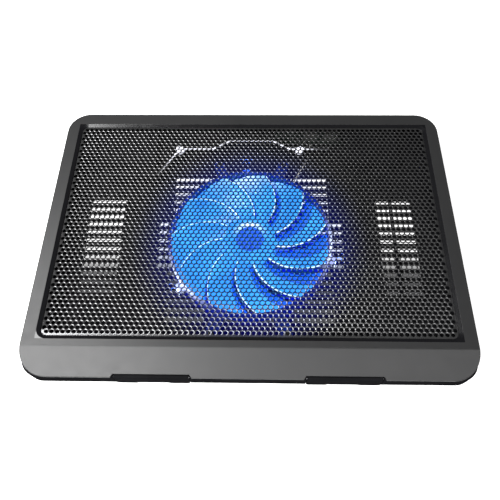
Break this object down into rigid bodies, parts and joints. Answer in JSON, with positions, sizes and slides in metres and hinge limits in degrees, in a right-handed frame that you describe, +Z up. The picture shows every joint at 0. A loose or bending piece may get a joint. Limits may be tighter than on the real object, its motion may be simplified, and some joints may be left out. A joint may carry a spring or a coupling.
{
  "type": "laptop cooling pad",
  "caption": "Slim laptop cooling pad with a perforated steel panel in a charcoal frame, a large blue-lit fan, fold-out rear legs and flip-up front stops.",
  "frame": {"origin": "middle of the footprint, on the surface that the rubber feet stand on", "axes": "+X to the right along the width, +Y to the rear, away from the user, +Z up"},
  "size_m": [0.35, 0.253, 0.025],
  "materials": {
    "base_black": "fine moulded texture",
    "frame_charcoal": "satin moulded plastic",
    "panel_black": "semi-gloss black powder paint",
    "spring_steel": "plain",
    "screw_steel": "black oxide",
    "rubber_black": "matte",
    "fan_frame_blue": "tinted clear plastic",
    "blade_blue": "tinted clear plastic",
    "magnet_black": "bonded ferrite",
    "bearing_brass": "sintered",
    "label_navy": "blank printed film",
    "board_green": "solder mask",
    "shaft_steel": "ground",
    "nylon_white": "natural nylon",
    "winding_copper": "enamelled copper wire",
    "led_lens": "clear lens, lit blue",
    "lead_black": "soft insulation",
    "lead_red": "soft insulation",
    "component_black": "moulded",
    "socket_steel": "nickel plated",
    "switch_black": "ribbed"
  },
  "bodies": {
    "housing": {"base_shell": "base_black", "bearing_sleeve": "bearing_brass", "board_components": "component_black", "board_screws": "screw_steel", "case_screws": "screw_steel", "fan_circuit_board": "board_green", "fan_frame": "fan_frame_blue", "fan_lead_minus": "lead_black", "fan_lead_plus": "lead_red", "fan_screws": "screw_steel", "led_1": "led_lens", "led_2": "led_lens", "led_3": "led_lens", "led_leads": "lead_black", "leg_left_pin": "shaft_steel", "leg_right_pin": "shaft_steel", "mesh_panel": "panel_black", "panel_clips": "spring_steel", "rubber_feet": "rubber_black", "socket_tongues": "nylon_white", "stator_core": "spring_steel", "stator_windings": "winding_copper", "stop_left_pin": "shaft_steel", "stop_right_pin": "shaft_steel", "switch_body": "component_black", "top_frame": "frame_charcoal", "usb_board": "board_green", "usb_socket_in": "socket_steel", "usb_socket_out": "socket_steel"},
    "fan_rotor": {"fan_impeller": "blade_blue", "rotor_yoke": "spring_steel", "rotor_magnet": "magnet_black", "fan_shaft": "shaft_steel", "retaining_ring": "nylon_white", "hub_label": "label_navy"},
    "rear_leg_left": {"leg_left": "base_black", "leg_left_tip": "rubber_black"},
    "rear_leg_right": {"leg_right": "base_black", "leg_right_tip": "rubber_black"},
    "front_stop_left": {"stop_left": "base_black"},
    "front_stop_right": {"stop_right": "base_black"},
    "power_slider": {"switch_slider": "switch_black"}
  },
  "joints": [
    {"name": "fan_spin", "type": "hinge", "parent": "housing", "child": "fan_rotor", "pos_m": [0, -0.007, 0.012], "axis": [0, 0, 1], "continuous": true},
    {"name": "rear_leg_left_fold", "type": "hinge", "parent": "housing", "child": "rear_leg_left", "pos_m": [-0.115, 0.117, 0.006], "axis": [1, 0, 0], "range_deg": [0, 100]},
    {"name": "rear_leg_right_fold", "type": "hinge", "parent": "housing", "child": "rear_leg_right", "pos_m": [0.115, 0.117, 0.006], "axis": [1, 0, 0], "range_deg": [0, 100]},
    {"name": "front_stop_left_flip", "type": "hinge", "parent": "housing", "child": "front_stop_left", "pos_m": [-0.0734, -0.1249, 0.0148], "axis": [-1, 0, 0], "range_deg": [0, 155]},
    {"name": "front_stop_right_flip", "type": "hinge", "parent": "housing", "child": "front_stop_right", "pos_m": [0.0734, -0.1249, 0.0148], "axis": [-1, 0, 0], "range_deg": [0, 155]},
    {"name": "power_slide", "type": "slide", "parent": "housing", "child": "power_slider", "axis": [1, 0, 0], "range_m": [0, 0.004]}
  ]
}
